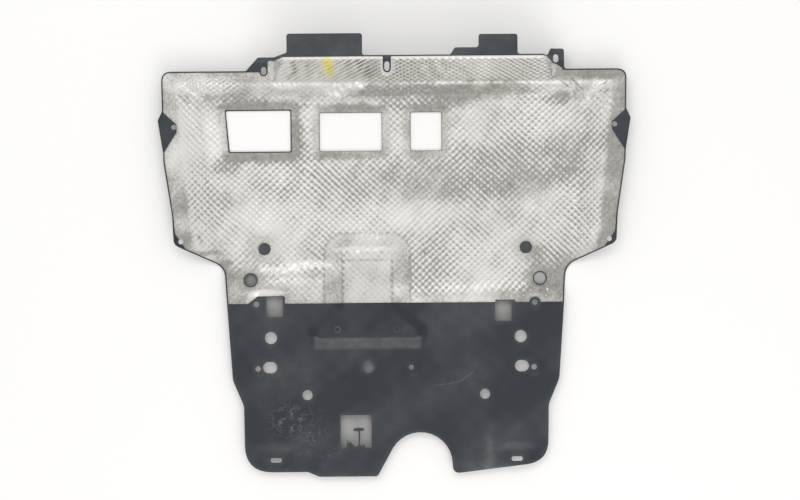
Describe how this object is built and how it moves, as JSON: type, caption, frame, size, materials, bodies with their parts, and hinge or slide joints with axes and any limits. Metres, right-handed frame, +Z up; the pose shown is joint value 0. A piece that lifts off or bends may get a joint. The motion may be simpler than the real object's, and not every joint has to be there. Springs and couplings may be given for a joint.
{
  "type": "engine splash shield",
  "caption": "Moulded undertray panel with a raised front wall, rim, windows and bolt holes, faced on its engine side by a pressed embossed aluminium heat shield.",
  "frame": {"origin": "bottom centre of the tray as it lies, at the level of the flat field's underside", "axes": "+X across the car, +Y towards the raised wall with the two tabs, +Z up, the engine side"},
  "size_m": [0.8218, 0.7646, 0.093],
  "materials": {
    "black_moulding": "moulded matte black polypropylene, dusty",
    "embossed_sheet": "bare embossed aluminium sheet, dull and stained"
  },
  "bodies": {
    "root": {"undertray_panel": "black_moulding", "heat_shield": "embossed_sheet"}
  },
  "joints": []
}
